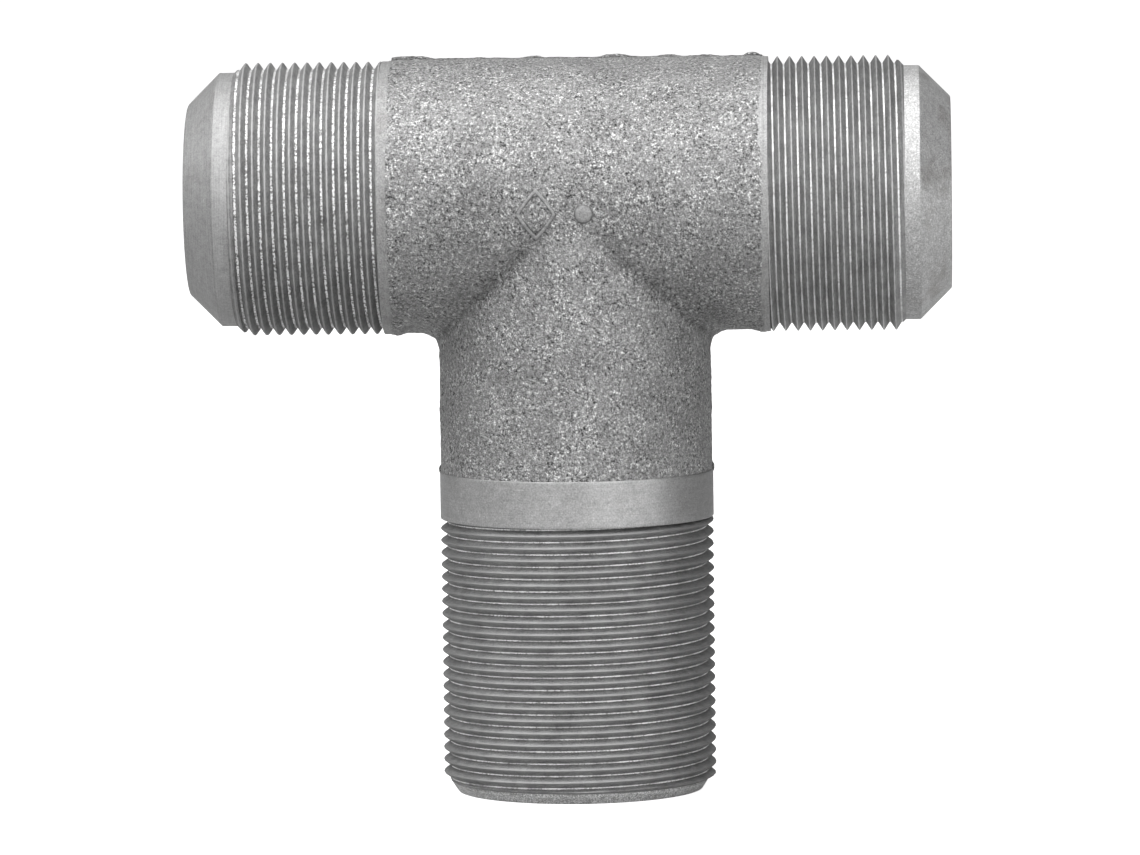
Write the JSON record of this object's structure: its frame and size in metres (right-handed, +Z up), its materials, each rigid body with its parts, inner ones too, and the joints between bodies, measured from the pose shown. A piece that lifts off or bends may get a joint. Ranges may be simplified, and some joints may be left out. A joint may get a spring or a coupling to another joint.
{
  "type": "flare fitting",
  "caption": "Forged steel tee fitting with a male flare cone and thread on each run end and a long straight-threaded branch.",
  "frame": {"origin": "centre of the branch's end face, on which the part stands", "axes": "+X along the run, from the left end to the right end; +Y to the back; +Z up, from the branch's end face to the run"},
  "size_m": [0.1314, 0.0484, 0.1276],
  "materials": {
    "blasted_forging": "shot-blasted forging scale, granular",
    "turned_steel": "satin, turned and phosphated",
    "thread_steel": "satin, with bright worn roots",
    "cone_steel": "fine matt, lightly stained"
  },
  "bodies": {
    "root": {"forged_body": "blasted_forging", "parting_flash": "blasted_forging", "die_mark": "blasted_forging", "left_collar": "turned_steel", "left_thread": "thread_steel", "left_land": "turned_steel", "left_flare_cone": "cone_steel", "right_collar": "turned_steel", "right_thread": "thread_steel", "right_land": "turned_steel", "right_flare_cone": "cone_steel", "branch_band": "turned_steel", "branch_thread": "thread_steel", "branch_tip": "turned_steel"}
  },
  "joints": []
}
